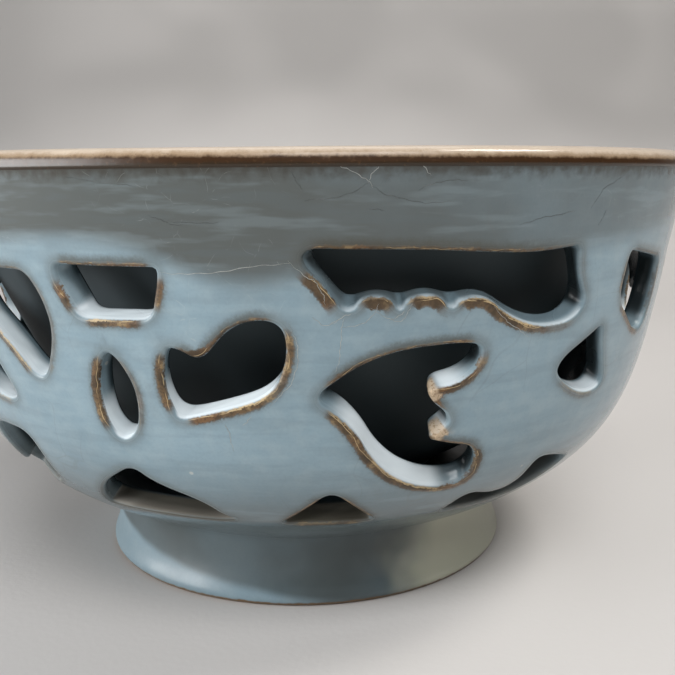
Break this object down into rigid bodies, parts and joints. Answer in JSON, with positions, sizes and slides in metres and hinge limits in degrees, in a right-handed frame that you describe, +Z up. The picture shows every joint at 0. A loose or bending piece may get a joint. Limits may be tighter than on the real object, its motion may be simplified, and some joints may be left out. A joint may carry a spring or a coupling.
{
  "type": "tea bowl",
  "caption": "Double-walled celadon tea bowl with a pierced openwork outer shell, a plain inner liner, a rolled brown lip and a low flared ring foot.",
  "frame": {"origin": "centre of the ring foot's resting face, on the surface the bowl stands on", "axes": "+Z up along the bowl's axis, -Y towards the front, +X to the right seen from the front"},
  "size_m": [0.1252, 0.1252, 0.066],
  "materials": {
    "shell_glaze": "gloss blue-grey celadon, brown where it thins on edges",
    "liner_glaze": "gloss blue-grey celadon",
    "lip_brown": "thin brown glaze, tan on the crown",
    "foot_glaze": "gloss grey-green celadon, brown at the resting edge",
    "fired_slip": "satin fired slip"
  },
  "bodies": {
    "root": {"pierced_shell": "shell_glaze", "inner_bowl": "liner_glaze", "rim_band": "lip_brown", "foot_ring": "foot_glaze", "rim_slip_seam": "fired_slip", "base_slip_seam": "fired_slip", "foot_slip_seam": "fired_slip"}
  },
  "joints": []
}
